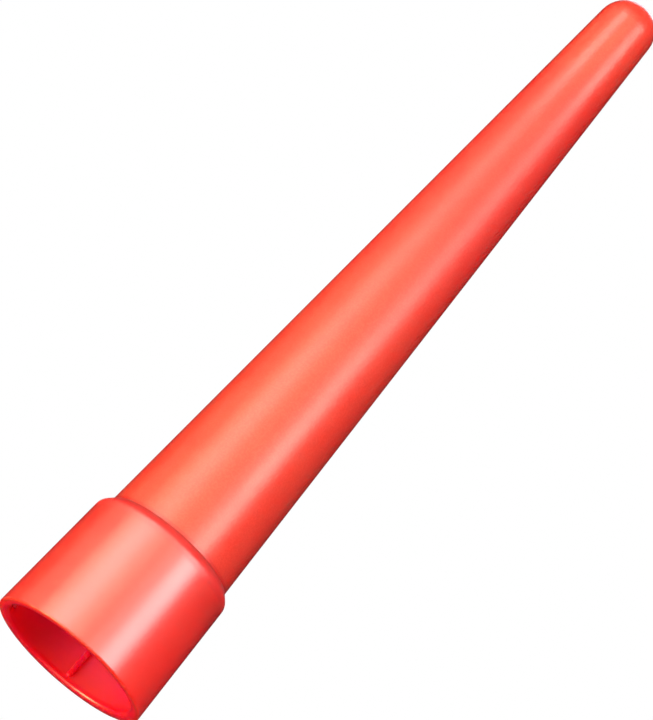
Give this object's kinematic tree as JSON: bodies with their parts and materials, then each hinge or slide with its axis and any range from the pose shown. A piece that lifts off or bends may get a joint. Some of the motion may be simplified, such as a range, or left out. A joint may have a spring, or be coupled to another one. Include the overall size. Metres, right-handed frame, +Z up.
{
  "type": "torch signal cone",
  "caption": "Red hollow signal cone with a rounded closed tip, plugged into a ribbed tapered collar that pushes over the head of a hand torch to make a glowing wand.",
  "frame": {"origin": "centre of the collar's open mouth, in the plane of its rim", "axes": "+Z runs up the axis of revolution to the closed tip; +X and +Y each pass through a grip rib"},
  "size_m": [0.048, 0.048, 0.2531],
  "materials": {
    "collar_plastic": "semi-gloss moulded translucent red plastic",
    "cone_plastic": "satin frosted translucent red plastic"
  },
  "bodies": {
    "collar": {"collar": "collar_plastic"},
    "cone": {"cone": "cone_plastic"}
  },
  "joints": [
    {"name": "cone_lift_off", "type": "slide", "parent": "collar", "child": "cone", "axis": [0, 0, 1], "range_m": [0, 0.03]}
  ]
}
